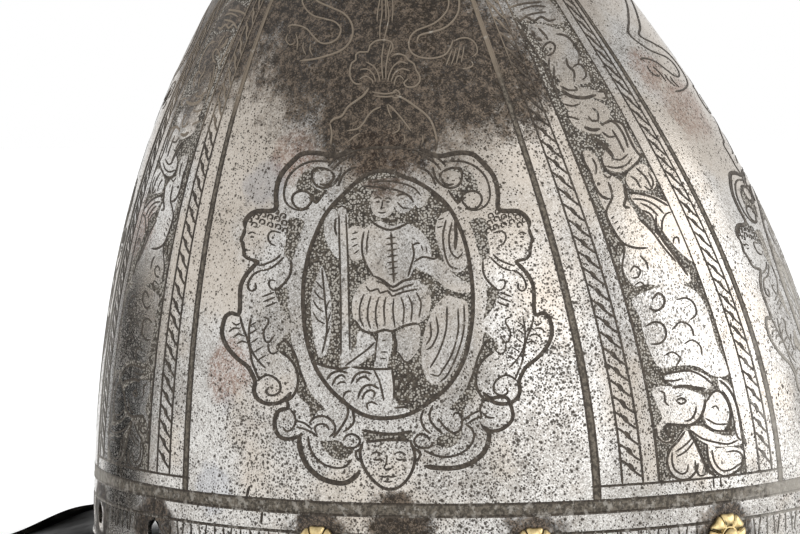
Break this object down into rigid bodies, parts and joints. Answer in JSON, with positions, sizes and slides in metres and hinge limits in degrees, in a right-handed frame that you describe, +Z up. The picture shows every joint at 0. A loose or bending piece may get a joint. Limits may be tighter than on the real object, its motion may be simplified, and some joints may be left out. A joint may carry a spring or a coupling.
{
  "type": "etched steel cabasset helmet",
  "caption": "Almond-shaped etched steel helmet with a short stalk, a drooping beaded brim and brass rosette rivets round the base, two of them lost.",
  "frame": {"origin": "centre of the helmet's footprint on the plane that the brim's edge rests on", "axes": "+Z up towards the stalk, -Y towards the front, +X towards the wearer's left"},
  "size_m": [0.254, 0.33, 0.2628],
  "materials": {
    "etched_steel": "etched, speckled and stained with age",
    "gilt_brass": "worn gilding, tarnished in the hollows"
  },
  "bodies": {
    "root": {"skull": "etched_steel", "rosette_01": "gilt_brass", "rosette_02": "gilt_brass", "rosette_03": "gilt_brass", "rosette_04": "gilt_brass", "rosette_05": "gilt_brass", "rosette_06": "gilt_brass", "rosette_07": "gilt_brass", "rosette_08": "gilt_brass", "rosette_09": "gilt_brass", "rosette_10": "gilt_brass"}
  },
  "joints": []
}
